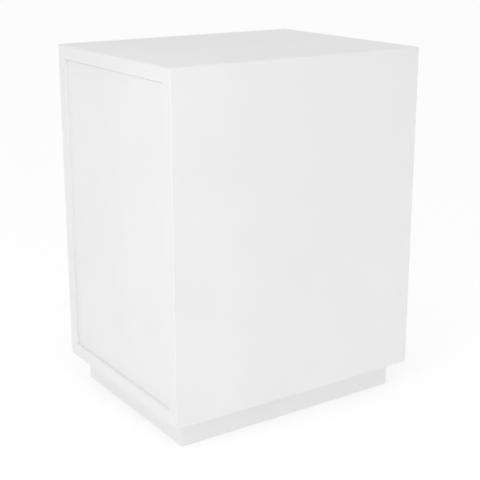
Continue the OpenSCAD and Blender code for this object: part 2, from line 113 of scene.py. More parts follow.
def block(low, high):
    """A closed box between two corners."""
    low, high = Vector(low), Vector(high)
    bm = bmesh.new()
    bmesh.ops.create_cube(bm, size=1)
    bmesh.ops.scale(bm, verts=bm.verts, vec=high - low)
    bmesh.ops.translate(bm, verts=bm.verts, vec=(low + high) / 2)
    return bm


def ease(bm, edges, radius, steps=3):
    """Rounds the given edges."""
    bmesh.ops.bevel(
        bm, geom=list(edges), offset=radius, offset_type="OFFSET", segments=steps,
        profile=0.5, affect="EDGES", material=-1, clamp_overlap=True,
    )
    return bm


def eased_block(low, high, radius, steps=3):
    """A box with all its edges rounded."""
    bm = block(low, high)
    return ease(bm, bm.edges, radius, steps)


def extruded(outline, low, high, axis):
    """A closed prism: an outline in the other two axes, drawn out along the third."""
    bm = bmesh.new()
    place = {
        "x": lambda a, b: (low, a, b),
        "y": lambda a, b: (a, low, b),
        "z": lambda a, b: (a, b, low),
    }[axis]
    face = bm.faces.new([bm.verts.new(place(a, b)) for a, b in outline])
    made = bmesh.ops.extrude_face_region(bm, geom=[face])
    far = [v for v in made["geom"] if isinstance(v, bmesh.types.BMVert)]
    bmesh.ops.translate(bm, verts=far, vec=[(high - low) * (axis == k) for k in AXES])
    bmesh.ops.recalc_face_normals(bm, faces=bm.faces)
    return bm


def many_sided(sides, radius, low, high):
    """An upright prism with a regular outline, its corners on the radius."""
    turns = [2 * math.pi * k / sides for k in range(sides)]
    return extruded([(radius * math.cos(t), radius * math.sin(t)) for t in turns], low, high, "z")


def lathed(profile, steps=PLAIN):
    """A closed solid of revolution about Z: points of radius and height, both ends on the axis."""
    bm = bmesh.new()
    verts = [bm.verts.new((r, 0, z)) for r, z in profile]
    edges = [bm.edges.new(pair) for pair in zip(verts, verts[1:])]
    bmesh.ops.spin(
        bm, geom=verts + edges, cent=(0, 0, 0), axis=(0, 0, 1), angle=2 * math.pi,
        steps=steps, use_merge=True,
    )
    bmesh.ops.remove_doubles(bm, verts=bm.verts, dist=WELD)
    bmesh.ops.recalc_face_normals(bm, faces=bm.faces)
    return bm


def thread(root, crest, pitch, top, bottom, steps=16):
    """A screw thread's ridge about Z, wound down from one height to another."""
    bm = bmesh.new()
    wide, thin = pitch * RIDGE_ROOT, pitch * RIDGE_CREST
    section = [(root, wide), (crest, thin), (crest, -thin), (root, -wide)]
    face = bm.faces.new([bm.verts.new((r, 0, top + z)) for r, z in section])
    turns = (top - bottom) / pitch
    count = round(turns * steps)
    bmesh.ops.spin(
        bm, geom=[face], cent=(0, 0, 0), axis=(0, 0, 1), angle=2 * math.pi * turns,
        steps=count, dvec=(0, 0, (bottom - top) / count),
    )
    bmesh.ops.remove_doubles(bm, verts=bm.verts, dist=WELD)
    bmesh.ops.recalc_face_normals(bm, faces=bm.faces)
    return bm


def moved(bm, matrix):
    bmesh.ops.transform(bm, matrix=matrix, verts=bm.verts)
    return bm


def at(place):
    return Matrix.Translation(place)


def turned_to(way, start=(0, 0, 1)):
    """A turn that takes one direction to another."""
    return Vector(start).rotation_difference(Vector(way)).to_matrix().to_4x4()


def unit(axis):
    return Vector([float(k == axis) for k in range(3)])


def joined(parts):
    """Several bmeshes as one, each kept a separate solid."""
    whole = bmesh.new()
    for part in parts:
        mesh = bpy.data.meshes.new("part")
        part.to_mesh(mesh)
        whole.from_mesh(mesh)
        bpy.data.meshes.remove(mesh)
    return whole


def painted(bm, index):
    """Gives every face one of the piece's materials, by its number."""
    for face in bm.faces:
        face.material_index = index
    return bm


def combined(bm, tool, operation="DIFFERENCE"):
    """Cuts, unites or intersects two closed solids. A face keeps the material number that it had."""
    made = []
    for source in (bm, tool):
        mesh = bpy.data.meshes.new("solid")
        source.to_mesh(mesh)
        for name in ("outer", "inner"):
            mesh.materials.append(bpy.data.materials.get(name) or bpy.data.materials.new(name))
        made.append(bpy.data.objects.new("solid", mesh))
        bpy.context.scene.collection.objects.link(made[-1])
    cutter = made[0].modifiers.new("cut", "BOOLEAN")
    cutter.operation = operation
    cutter.solver = "MANIFOLD"
    cutter.object = made[1]
    result = bmesh.new()
    result.from_object(made[0], bpy.context.evaluated_depsgraph_get())
    for thing in made:
        mesh = thing.data
        bpy.data.objects.remove(thing)
        bpy.data.meshes.remove(mesh)
    bmesh.ops.remove_doubles(result, verts=result.verts, dist=WELD)
    bmesh.ops.dissolve_degenerate(result, edges=result.edges, dist=WELD)
    return result


def finished(bm, name, node, body, slot, *materials):
    """Makes the piece that stands for a frame node."""
    for edge in bm.edges:
        edge.smooth = not (len(edge.link_faces) == 2 and edge.calc_face_angle() > SHARP)
    for face in bm.faces:
        face.smooth = True
    mesh = bpy.data.meshes.new(name)
    bm.to_mesh(mesh)
    bm.free()
    for material in materials:
        mesh.materials.append(material)
    piece = bpy.data.objects.new(name, mesh)
    bpy.context.scene.collection.objects.link(piece)
    piece.modifiers.new("flat faces", "WEIGHTED_NORMAL").keep_sharp = True
    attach(piece, body)
    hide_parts(node)
    return piece


class Solid:
    """One separate solid of a frame node: its corners, its size and the axis that it is longest along."""

    def __init__(self, points):
        self.points = points
        self.low = Vector([min(p[k] for p in points) for k in range(3)])
        self.high = Vector([max(p[k] for p in points) for k in range(3)])
        self.size = self.high - self.low
        self.middle = (self.low + self.high) / 2
        self.axis = max(range(3), key=lambda k: self.size[k])
        self.radius = min(self.size) / 2

    def touches(self, low, high):
        return all(self.low[k] < high[k] and self.high[k] > low[k] for k in range(3))


def laid_along_x(bm, solid):
    """Lays a shape that stands on Z along X, with its foot at a solid's low end."""
    return moved(bm, at((solid.low.x, solid.middle.y, solid.middle.z)) @ turned_to((1, 0, 0)))


def solids_of(node):
    """The separate solids of a frame node, from the lowest up."""
    bm = bmesh.new()
    bm.from_mesh(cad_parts[node].data)
    bmesh.ops.remove_doubles(bm, verts=bm.verts, dist=WELD)
    left = set(bm.verts)
    found = []
    while left:
        group = [left.pop()]
        for vert in group:
            for edge in vert.link_edges:
                other = edge.other_vert(vert)
                if other in left:
                    left.remove(other)
                    group.append(other)
        found.append(Solid([v.co.copy() for v in group]))
    bm.free()
    # Rounded to a tenth of a millimetre, so that solids at one height go by their place
    return sorted(found, key=lambda s: [round(s.middle[k], 4) for k in (2, 1, 0)])


# Materials

class Value:
    """A socket that Python's operators add Math nodes to."""

    def __init__(self, finish, socket):
        self.finish = finish
        self.socket = socket

    def maths(self, operation, *values):
        return self.finish.node("ShaderNodeMath", {"operation": operation}, values)

    def __add__(self, other):
        return self.maths("ADD", self, other)

    __radd__ = __add__

    def __mul__(self, other):
        return self.maths("MULTIPLY", self, other)

    __rmul__ = __mul__


class Finish:
    """A material with a Principled shader at its end."""

    def __init__(self, name):
        self.material = bpy.data.materials.new(name)
        self.material.use_nodes = True
        self.tree = self.material.node_tree
        self.shader = self.tree.nodes["Principled BSDF"]
        self.place = self.node("ShaderNodeTexCoord", output="Object")

    def node(self, kind, settings=None, inputs=(), output=0):
        """Adds a node: its settings first, then the values or links of its sockets."""
        made = self.tree.nodes.new(kind)
        for key, value in (settings or {}).items():
            setattr(made, key, value)
        pairs = inputs.items() if isinstance(inputs, dict) else enumerate(inputs)
        for key, value in pairs:
            self.feed(made.inputs[key], value)
        return Value(self, made.outputs[output])

    def feed(self, socket, value):
        if isinstance(value, Value):
            self.tree.links.new(value.socket, socket)
        else:
            socket.default_value = value

    def set(self, **values):
        """Feeds the shader: an underscore in a name stands for a space."""
        for key, value in values.items():
            self.feed(self.shader.inputs[key.replace("_", " ")], value)
        return self.material

    def mapped(self, turn=(0, 0, 0), stretch=(1, 1, 1), place=None):
        """A place turned, and then shrunk along the axes that a pattern is to be long in."""
        return self.node("ShaderNodeMapping", {}, {
            "Vector": place or self.place, "Rotation": turn, "Scale": stretch})

    def noise(self, scale, detail=2, roughness=0.5, place=None, output=0):
        inputs = {"Vector": place or self.place, "Scale": scale, "Detail": detail, "Roughness": roughness}
        return self.node("ShaderNodeTexNoise", {}, inputs, output)

    def between(self, value, low, high, low_to=0.0, high_to=1.0):
        """A value's range spread over another range."""
        return self.node("ShaderNodeMapRange", {}, [value, low, high, low_to, high_to])

    def blend(self, factor, first, second):
        """Mixes two colours. The Mix node numbers its colour sockets 6 and 7 in and 2 out."""
        return self.node("ShaderNodeMix", {"data_type": "RGBA"}, {0: factor, 6: first, 7: second}, output=2)

    def bump(self, height, distance, strength, over=None):
        inputs = {"Height": height, "Distance": distance, "Strength": strength}
        if over:
            inputs["Normal"] = over
        return self.node("ShaderNodeBump", {}, inputs)


def rgb(red, green, blue):
    return red, green, blue, 1


def grey(level):
    return rgb(level, level, level)


LACQUER_SHADE, LACQUER_WHITE = grey(0.905), grey(0.93)
FIBRE_DARK, FIBRE_PALE = rgb(0.42, 0.285, 0.17), rgb(0.62, 0.455, 0.295)
EARLY_WOOD, LATE_WOOD = rgb(0.74, 0.53, 0.29), rgb(0.53, 0.30, 0.125)
PALE_PATCH, DARK_FIBRE = rgb(0.80, 0.62, 0.38), rgb(0.48, 0.30, 0.15)
BLUE_ZINC, STRAW_ZINC = rgb(0.64, 0.67, 0.72), rgb(0.76, 0.75, 0.70)
FERRITE_BLACK, FERRITE_GREY = rgb(0.035, 0.035, 0.04), rgb(0.10, 0.10, 0.11)
GRAIN_TURN = {"x": (0, math.pi / 2, 0), "y": (math.pi / 2, 0, 0), "z": (0, 0, 0)}
RING_DRIFT = 16 * MM
RING_SCALE = 95


def make_lacquer():
    """Satin white lacquer, sprayed: faint mottling, fine orange peel and a slow waviness of the board."""
    f = Finish("white satin lacquer")
    cloud = f.noise(2.3)
    mottle = f.noise(9, 3)
    scuff = f.noise(60, 4, 0.6)
    colour = f.blend(f.between(mottle * 0.6 + cloud * 0.4, 0.35, 0.65), LACQUER_SHADE, LACQUER_WHITE)
    wave = f.bump(f.noise(26), 0.25 * MM, 0.2)
    return f.set(
        Base_Color=colour,
        Roughness=f.between(scuff * 0.5 + cloud * 0.5, 0.35, 0.65, 0.40, 0.50),
        Normal=f.bump(f.noise(420, 2, 0.45), 0.05 * MM, 0.35, wave),
        Specular_IOR_Level=0.45,
    )


def make_fibreboard():
    """Raw medium-density fibreboard: tan, with short fibres lying every way."""
    f = Finish("raw fibreboard")
    fibre = f.noise(900, 3, 0.7, f.mapped(stretch=(1, 0.45, 1)))
    fleck = f.noise(320, 2, 0.6)
    cloud = f.noise(14, 3)
    tone = f.between(fibre * 0.6 + fleck * 0.25 + cloud * 0.15, 0.34, 0.66)
    return f.set(
        Base_Color=f.blend(tone, FIBRE_DARK, FIBRE_PALE),
        Roughness=f.between(cloud, 0.3, 0.7, 0.82, 0.92),
        Normal=f.bump(fibre, 0.08 * MM, 0.6),
        Specular_IOR_Level=0.25,
    )


def make_pine(axis):
    """Planed softwood, its grain along one axis: growth rings, drifting a little, and fine fibres."""
    f = Finish(f"pine along {axis}")
    along = f.mapped(GRAIN_TURN[axis])
    slow = f.mapped(stretch=(1, 1, 0.18), place=along)
    drift = f.noise(11, 2, place=slow, output=1)
    bent = f.node("ShaderNodeVectorMath", {"operation": "MULTIPLY_ADD"},
                  [drift, (RING_DRIFT, RING_DRIFT, 0), along])
    rings = f.node(
        "ShaderNodeTexWave", {"wave_type": "RINGS", "rings_direction": "Z", "wave_profile": "SAW"},
        {"Vector": bent, "Scale": RING_SCALE, "Distortion": 0.8, "Detail": 2, "Detail Scale": 1.5},
        output=1)
    fibre = f.noise(1300, 3, 0.6, f.mapped(stretch=(1, 1, 0.03), place=along))
    patch = f.noise(16, 2, place=slow)
    late = f.between(rings, 0.55, 1.0)
    wood = f.blend(late * 0.75, EARLY_WOOD, LATE_WOOD)
    toned = f.blend(f.between(patch, 0.35, 0.7, 0.0, 0.35), wood, PALE_PATCH)
    colour = f.blend(f.between(fibre, 0.3, 0.7, 0.0, 0.3), toned, DARK_FIBRE)
    return f.set(
        Base_Color=colour,
        Roughness=f.between(late + fibre * 0.5, 0.2, 1.4, 0.66, 0.50),
        Normal=f.bump(late * 0.6 + fibre * 0.4, 0.07 * MM, 0.5),
        Specular_IOR_Level=0.3,
    )


def make_veneer(name, pale, dark, stretch):
    """Fine-grained hardwood: short darker flecks along the grain."""
    f = Finish(name)
    fleck = f.noise(900, 3, 0.65, f.mapped(stretch=stretch))
    cloud = f.noise(30)
    return f.set(
        Base_Color=f.blend(f.between(fleck * 0.8 + cloud * 0.2, 0.35, 0.65), dark, pale),
        Roughness=f.between(fleck, 0.3, 0.7, 0.7, 0.58),
        Normal=f.bump(fleck, 0.05 * MM, 0.5),
    )


def make_zinc():
    """Bright zinc plate: a slightly uneven metal with a faint blue and straw tint."""
    f = Finish("bright zinc plate")
    cloud = f.noise(140, 3)
    grain = f.noise(1500, 2, 0.6)
    return f.set(
        Base_Color=f.blend(f.between(cloud, 0.35, 0.65), BLUE_ZINC, STRAW_ZINC),
        Metallic=1.0,
        Roughness=f.between(cloud * 0.6 + grain * 0.4, 0.35, 0.65, 0.24, 0.38),
        Normal=f.bump(grain, 0.01 * MM, 0.4),
    )


def make_nylon(name, colour, dust):
    """Moulded nylon with a fine spark-eroded texture, a little duller in patches."""
    f = Finish(name)
    grain = f.noise(1800, 2, 0.6)
    cloud = f.noise(70, 3)
    return f.set(
        Base_Color=f.blend(f.between(cloud, 0.4, 0.75, 0.0, 0.5), colour, dust),
        Roughness=f.between(cloud, 0.3, 0.7, 0.42, 0.55),
        Normal=f.bump(grain, 0.03 * MM, 0.5),
    )


def make_ferrite():
    """Sintered ferrite: nearly black, with pale grinding lines and pits."""
    f = Finish("ground ferrite")
    lines = f.noise(1600, 2, 0.6, f.mapped(stretch=(1, 0.05, 1)))
    pits = f.noise(500, 3, 0.7)
    return f.set(
        Base_Color=f.blend(f.between(lines, 0.4, 0.7, 0.0, 0.6), FERRITE_BLACK, FERRITE_GREY),
        Roughness=f.between(pits, 0.3, 0.7, 0.45, 0.68),
        Normal=f.bump(pits, 0.03 * MM, 0.6),
        Specular_IOR_Level=0.6,
    )


lacquer = make_lacquer()
fibreboard = make_fibreboard()
pine = {axis: make_pine(axis) for axis in AXES}
birch = make_veneer("birch veneer", rgb(0.78, 0.63, 0.43), rgb(0.62, 0.46, 0.28), (1, 0.06, 1))
birch_core = make_veneer("birch cross veneer", rgb(0.62, 0.47, 0.30), rgb(0.44, 0.30, 0.17), (0.2, 1, 1))
beech = make_veneer("turned beech", rgb(0.70, 0.50, 0.33), rgb(0.50, 0.31, 0.18), (1, 1, 0.25))
zinc = make_zinc()
white_nylon = make_nylon("white nylon", rgb(0.80, 0.79, 0.75), rgb(0.70, 0.68, 0.62))
black_nylon = make_nylon("black nylon", rgb(0.022, 0.022, 0.024), rgb(0.055, 0.055, 0.058))
ferrite = make_ferrite()


# Fasteners and the holes for them

SCREWS = {
    "batten_screws": "carcass", "stop_screws": "carcass", "catch_screws": "carcass",
    "strike_screws": "access_panel", "block_screws": "carcass", "base_screws": "carcass",
}
# Points this near a screw's end belong to it
SCREW_END = 0.5 * MM
# The block screws' heads lie this deep in their blocks, in bores this much wider than the head
BLOCK_SINK = 18.5 * MM
BORE_ROOM = 0.5 * MM

# The head's flat stops short of its rim, and the rim is rounded in and down
HEAD_FLAT = 0.3 * MM
RIM_IN = 0.12 * MM
RIM_DOWN = 0.14 * MM
NECK_DROP = 0.1 * MM
# The plain shank's share of the length, the thread's core and pitch as shares of the radius
SHANK_SHARE = 0.38
CORE_SHARE = 0.7
PITCH_SHARE = 0.95
ROOT_SINK = 0.9
SHANK_STEP = 0.5 * MM
SCREW_TIP = 5 * MM
POINT_RADIUS = 0.15 * MM
THREAD_START = 2 * MM
THREAD_PAST_TIP = 1 * MM
# The cross recess: its reach and depth as shares of the head's radius, and how far it narrows
RECESS_REACH = 0.58
RECESS_DEPTH = 0.4
RECESS_TAPER = 0.6
LARGE_HEAD = 3.5 * MM
LARGE_WING = 0.45 * MM
SMALL_WING = 0.36 * MM
# Each screw was driven to a different stop
SCREW_TURN = 0.9

DOWEL_CHAMFER = 1 * MM
DOWEL_FLUTES = 20
FLUTE_CREST = 1.02
FLUTE_ROOT = 0.93


class Screw(Solid):
    """A countersunk screw of the frame: where its head is and which way it points."""

    def __init__(self, solid):
        super().__init__(solid.points)
        axis = self.axis
        across = [k for k in range(3) if k != axis]

        def spread(end):
            return max(abs(p[k] - self.middle[k]) for p in self.points for k in across
                       if abs(p[axis] - end[axis]) < SCREW_END)

        head_up = spread(self.high) > spread(self.low)
        self.head = self.middle.copy()
        self.head[axis] = (self.high if head_up else self.low)[axis]
        self.way = unit(axis) * (-1 if head_up else 1)
        self.length = self.size[axis]
        self.head_radius = self.radius
        self.radius = self.head_radius / 2
        self.matrix = at(self.head) @ turned_to(self.way, (0, 0, -1))

    def hole(self, counterbore=0.0):
        """A countersunk hole that this screw fits, with a wider bore above its head if that is sunk."""
        big = self.head_radius + 2 * FIT
        thin = self.radius + FIT
        top = [(0, REACH), (big, REACH), (big, 0)]
        if counterbore:
            wide = self.head_radius + BORE_ROOM
            top = [(0, counterbore), (wide, counterbore), (wide, 0), (big, 0)]
        foot = -self.length - FIT
        return moved(lathed(top + [(thin, thin - big), (thin, foot), (0, foot)], COARSE), self.matrix)


screws = {node: [Screw(s) for s in solids_of(node)] for node in SCREWS}


def screw_holes(low, high, *nodes):
    """Holes for every screw of these nodes that reaches into a box."""
    found = [(node, s) for node in nodes for s in screws[node] if s.touches(low, high)]
    return [s.hole(BLOCK_SINK if node == "block_screws" else 0.0) for node, s in found]


def round_holes(node, low, high, spare=0.0):
    """Round holes for the pegs of a node that reach into a box, each a little longer than its peg."""
    holes = []
    for peg in solids_of(node):
        if peg.touches(low, high):
            radius = peg.radius + FIT
            half = peg.size[peg.axis] / 2 + spare
            hole = lathed([(0, -half), (radius, -half), (radius, half), (0, half)], COARSE)
            holes.append(moved(hole, at(peg.middle) @ turned_to(unit(peg.axis))))
    return holes


def wood_screw(head, radius, length):
    """A countersunk wood screw with a cross recess, pointing down from the middle of its head."""
    core = radius * CORE_SHARE
    shank_end = -length * SHANK_SHARE
    tip_top = SCREW_TIP - length
    shaft = lathed([
        (0, 0), (head - HEAD_FLAT, 0), (head - RIM_IN, -RIM_DOWN), (radius, radius - head - NECK_DROP),
        (radius, shank_end), (core, shank_end - SHANK_STEP), (core, tip_top),
        (POINT_RADIUS, -length), (0, -length),
    ], COARSE)
    ridge = thread(core * ROOT_SINK, radius, radius * PITCH_SHARE,
                   shank_end - THREAD_START, tip_top - THREAD_PAST_TIP)
    whole = combined(shaft, ridge, "UNION")
    arm, deep = head * RECESS_REACH, head * RECESS_DEPTH
    wing = LARGE_WING if head > LARGE_HEAD else SMALL_WING
    bars = []
    for x, y in ((arm, wing), (wing, arm)):
        bar = block((-x, -y, -deep), (x, y, REACH))
        foot = [v for v in bar.verts if v.co.z < 0]
        bmesh.ops.scale(bar, verts=foot, vec=(RECESS_TAPER, RECESS_TAPER, 1))
        bars.append(bar)
    return combined(whole, combined(*bars, "UNION"))


def make_screws():
    for node, body in SCREWS.items():
        first = screws[node][0]
        pattern = wood_screw(first.head_radius, first.radius, first.length)
        copies = []
        for k, screw in enumerate(screws[node]):
            copies.append(moved(pattern.copy(), screw.matrix @ Matrix.Rotation(k * SCREW_TURN, 4, "Z")))
        name = node.replace("screws", "wood_screws")
        finished(joined(copies), name, node, body, "zinc_plated_steel", zinc)


def make_dowels(node, name):
    """Fluted beech dowels with chamfered ends."""
    copies = []
    for peg in solids_of(node):
        half, soft = peg.size[peg.axis] / 2, DOWEL_CHAMFER
        turned = lathed([(0, -half), (peg.radius - soft, -half), (peg.radius, soft - half),
                         (peg.radius, half - soft), (peg.radius - soft, half), (0, half)])
        outline = []
        for k in range(2 * DOWEL_FLUTES):
            r = peg.radius * (FLUTE_CREST if k % 2 else FLUTE_ROOT)
            turn = math.pi * k / DOWEL_FLUTES
            outline.append((r * math.cos(turn), r * math.sin(turn)))
        fluted = combined(turned, extruded(outline, -half - REACH, half + REACH, "z"), "INTERSECT")
        copies.append(moved(fluted, at(peg.middle) @ turned_to(unit(peg.axis))))
    finished(joined(copies), name, node, "carcass", "beech", beech)


# Plywood tongues in the mitres

TONGUES = {
    "tongue_top_front": ("x", -1), "tongue_top_rear": ("x", 1), "tongue_top_end": ("y", 1),
    "tongue_front_end": ("z", -1), "tongue_rear_end": ("z", 1),
}
TONGUE_THICK = 4 * MM
TONGUE_ARRIS = 0.3 * MM
TONGUE_SLACK = 0.5 * MM
PLIES = 3


def tongue_matrix(node):
    """Places a strip that is drawn wide in X, thick in Y and long in Z."""
    axis, side = TONGUES[node]
    quarter = math.pi / 4
    stand = {
        "x": Matrix.Rotation(-side * quarter, 4, "X") @ Matrix.Rotation(math.pi / 2, 4, "Z")
        @ Matrix.Rotation(math.pi / 2, 4, "X"),
        "y": Matrix.Rotation(quarter, 4, "Y") @ Matrix.Rotation(math.pi / 2, 4, "X"),
        "z": Matrix.Rotation(-side * quarter, 4, "Z"),
    }[axis]
    low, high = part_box(node)
    return at((low + high) / 2) @ stand


def tongue_half(node):
    """Half the width, thickness and length of a tongue that lies at 45 degrees in its box."""
    low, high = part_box(node)
    size = high - low
    k = AXES.index(TONGUES[node][0])
    width = size[(k + 1) % 3] * math.sqrt(2) - TONGUE_THICK
    return Vector((width, TONGUE_THICK, size[k])) / 2


def grooves(low, high):
    """Grooves for the tongues that reach into a board."""
    found = []
    for node in TONGUES:
        a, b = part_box(node)
        if all(a[k] < high[k] and b[k] > low[k] for k in range(3)):
            half = tongue_half(node) + Vector((TONGUE_SLACK, FIT, TONGUE_SLACK))
            found.append(moved(block(-half, half), tongue_matrix(node)))
    return found


def make_tongue(node):
    """A strip of three-ply: two face veneers and a darker cross veneer between them."""
    half = tongue_half(node)
    core = half.y / PLIES
    bm = eased_block(-half, half, TONGUE_ARRIS, steps=2)
    for side in (-1, 1):
        bmesh.ops.bisect_plane(bm, geom=bm.verts[:] + bm.edges[:] + bm.faces[:], dist=WELD,
                               plane_co=(0, side * core, 0), plane_no=(0, 1, 0))
    for face in bm.faces:
        face.material_index = int(abs(face.calc_center_median().y) < core)
    strip = moved(bm, tongue_matrix(node))
    finished(strip, node + "_strip", node, "carcass", "birch_plywood", birch, birch_core)


# Body boards, taken from one hollow shell so that their lacquered faces run on across the joints

BODY_BOARDS = {"top_panel": "top_board", "front_panel": "front_board", "rear_panel": "rear_board",
               "end_panel": "end_board", "deck": "deck_board"}
CORNERS = ["front_left", "front_right", "rear_left", "rear_right"]
# The lacquer goes into the mouth this far past the panel's back
SPRAY_DEPTH = 3 * MM
KEY_HOLE = 7 * MM
KEY_HOLE_ARRIS = 0.6 * MM


def body_shell():
    """The whole body with its open end. The lacquer runs round the mouth and a little way in."""
    shell = eased_block(body_low, body_high, ARRIS, steps=5)
    hollow = block(inside_low - Vector((REACH, 0, 0)), inside_high)
    shell = combined(painted(shell, 0), painted(hollow, 1))

    def on_mouth(v):
        return (abs(v.co.x - body_low.x) < NEAR
                and inside_low.y - NEAR < v.co.y < inside_high.y + NEAR
                and inside_low.z - NEAR < v.co.z < inside_high.z + NEAR)

    ease(shell, [e for e in shell.edges if all(on_mouth(v) for v in e.verts)], MOUTH_ARRIS)
    edge = panel_high.x + SPRAY_DEPTH
    bmesh.ops.bisect_plane(shell, geom=shell.verts[:] + shell.edges[:] + shell.faces[:], dist=WELD,
                           plane_co=(edge, 0, 0), plane_no=(1, 0, 0))
    for face in shell.faces:
        if face.calc_center_median().x < edge:
            face.material_index = 0
    return shell


def board_region(node):
    """The space that one board takes out of the shell, with its mitres."""
    low, high = body_low - Vector((MARGIN,) * 3), body_high + Vector((MARGIN,) * 3)
    # A mitre's line runs on from the inner corner through the outer one, however far out
    far_x = inside_high.x + (high.y - inside_high.y)
    far_z = inside_high.z + (high.y - inside_high.y)
    roof = inside_high.z
    if node == "deck":
        # Between the sides the shell has only its floor, so any height below the roof will do
        return block((low.x, inside_low.y, low.z), (inside_high.x, inside_high.y, roof / 2))
    if node == "top_panel":
        across = extruded([(low.y, far_z), (high.y, far_z), (inside_high.y, roof), (inside_low.y, roof)],
                          low.x, far_x, "x")
        along = extruded([(low.x, far_z), (far_x, far_z), (inside_high.x, roof), (low.x, roof)],
                         low.y, high.y, "y")
        return combined(across, along, "INTERSECT")
    if node == "end_panel":
        plan = extruded([(far_x, low.y), (far_x, high.y), (inside_high.x, inside_high.y),
                         (inside_high.x, inside_low.y)], low.z, far_z, "z")
        section = extruded([(far_x, low.z), (far_x, far_z), (inside_high.x, roof), (inside_high.x, low.z)],
                           low.y, high.y, "y")
        return combined(plan, section, "INTERSECT")
    side = -1 if node == "front_panel" else 1
    out, edge = side * high.y, side * inside_high.y
    plan = extruded([(low.x, out), (far_x, out), (inside_high.x, edge), (low.x, edge)], low.z, far_z, "z")
    section = extruded([(out, low.z), (out, far_z), (edge, roof), (edge, low.z)], low.x, far_x, "x")
    return combined(plan, section, "INTERSECT")


def foot_place(corner):
    low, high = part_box("pad_" + corner)
    return Vector(((low.x + high.x) / 2, (low.y + high.y) / 2, 0))


def key_holes():
    """Holes through the deck over the feet, for the key, with eased rims."""
    low, high = deck_low.z, deck_high.z
    wide = KEY_HOLE + KEY_HOLE_ARRIS
    profile = [
        (0, low - REACH), (wide + REACH, low - REACH), (KEY_HOLE, low + KEY_HOLE_ARRIS),
        (KEY_HOLE, high - KEY_HOLE_ARRIS), (wide + REACH, high + REACH), (0, high + REACH),
    ]
    return [moved(lathed(profile), at(foot_place(corner))) for corner in CORNERS]


def make_body_boards():
    shell = body_shell()
    for node, name in BODY_BOARDS.items():
        low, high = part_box(node)
        board = combined(shell.copy(), painted(board_region(node), 1), "INTERSECT")
        holes = grooves(low, high) + round_holes("deck_dowels", low, high, REACH)
        holes += screw_holes(low, high, "batten_screws", "stop_screws", "base_screws")
        if node == "deck":
            holes += key_holes()
        board = combined(board, painted(joined(holes), 1))
        finished(board, name, node, "carcass", "lacquered_board", lacquer, fibreboard)


# Kick base boards, taken from one ring in the same way

# The way that each one faces
KICK_BOARDS = {"kick_front": (0, -1), "kick_rear": (0, 1), "kick_left": (-1, 0), "kick_right": (1, 0)}


def make_kick_boards():
    """Boards mitred at the corners. Their top edges are square, where they meet the deck."""
    ring = eased_block(base_low, base_high + Vector((0, 0, ARRIS)), ARRIS, steps=5)
    flat = block(base_low - Vector((MARGIN,) * 3), base_high + Vector((MARGIN, MARGIN, 0)))
    ring = combined(painted(ring, 0), painted(flat, 1), "INTERSECT")
    inner = Vector((base_inside.x, base_inside.y, base_high.z + MARGIN))
    ring = combined(ring, painted(block(-inner, inner), 1))
    x, y = base_inside
    out = 2 * MARGIN
    for node, (dx, dy) in KICK_BOARDS.items():
        if dx:
            plan = [(dx * x, -y), (dx * x, y), (dx * (x + out), y + out), (dx * (x + out), -y - out)]
        else:
            plan = [(-x, dy * y), (x, dy * y), (x + out, dy * (y + out)), (-x - out, dy * (y + out))]
        wedge = extruded(plan, base_low.z - MARGIN, base_high.z + MARGIN, "z")
        board = combined(ring.copy(), painted(wedge, 1), "INTERSECT")
        low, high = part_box(node)
        holes = screw_holes(low, high, "block_screws") + round_holes("stretcher_dowels", low, high, REACH)
        board = combined(board, painted(joined(holes), 1))
        finished(board, node + "_board", node, "carcass", "lacquered_board", lacquer, fibreboard)


# Access panel and what is fixed to its back

LACQUER_BUILD = 0.25 * MM
LIFT_GAP = 1.45 * MM
STRIKE_CORNER = 2 * MM
# The bushes: room round the pin, their floor, and the chamfers at the back, the rim and the mouth
BUSH_ROOM = 0.3 * MM
BUSH_FLOOR = 1 * MM
BUSH_BACK = 0.6 * MM
BUSH_RIM = 0.3 * MM
BUSH_MOUTH_WIDE = 0.7 * MM
BUSH_MOUTH_DEEP = 0.9 * MM


def make_access_panel():
    """The board: lacquer nearly fills the gap round it, but there is room above to lift it off its pins."""
    low = panel_low - Vector((0, LACQUER_BUILD, LACQUER_BUILD))
    high = panel_high + Vector((0, LACQUER_BUILD, -LIFT_GAP))
    panel = painted(eased_block(low, high, PANEL_ARRIS, steps=4), 0)
    holes = screw_holes(panel_low, panel_high, "strike_screws")
    for bush in solids_of("pin_bushes"):
        radius = bush.size.y / 2 + FIT / 2
        hole = lathed([(0, 0), (radius, 0), (radius, bush.size.x + REACH), (0, bush.size.x + REACH)])
        holes.append(laid_along_x(hole, bush))
    panel = combined(panel, painted(joined(holes), 1))
    finished(panel, "access_panel_board", "access_panel", "access_panel", "lacquered_board",
             lacquer, fibreboard)


def make_strike_plates():
    """Steel plates with round corners and two countersunk holes each."""
    plates = []
    for plate in solids_of("strike_plates"):
        bm = block(plate.low, plate.high)
        corners = [e for e in bm.edges if abs(e.verts[0].co.x - e.verts[1].co.x) > NEAR]
        ease(bm, corners, STRIKE_CORNER, steps=4)
        ease(bm, [e for e in bm.edges if e.calc_face_angle() > SHARP], PLATE_ARRIS, steps=2)
        plates.append(combined(bm, joined(screw_holes(plate.low, plate.high, "strike_screws"))))
    finished(joined(plates), "strike_plate_set", "strike_plates", "access_panel", "zinc_plated_steel", zinc)


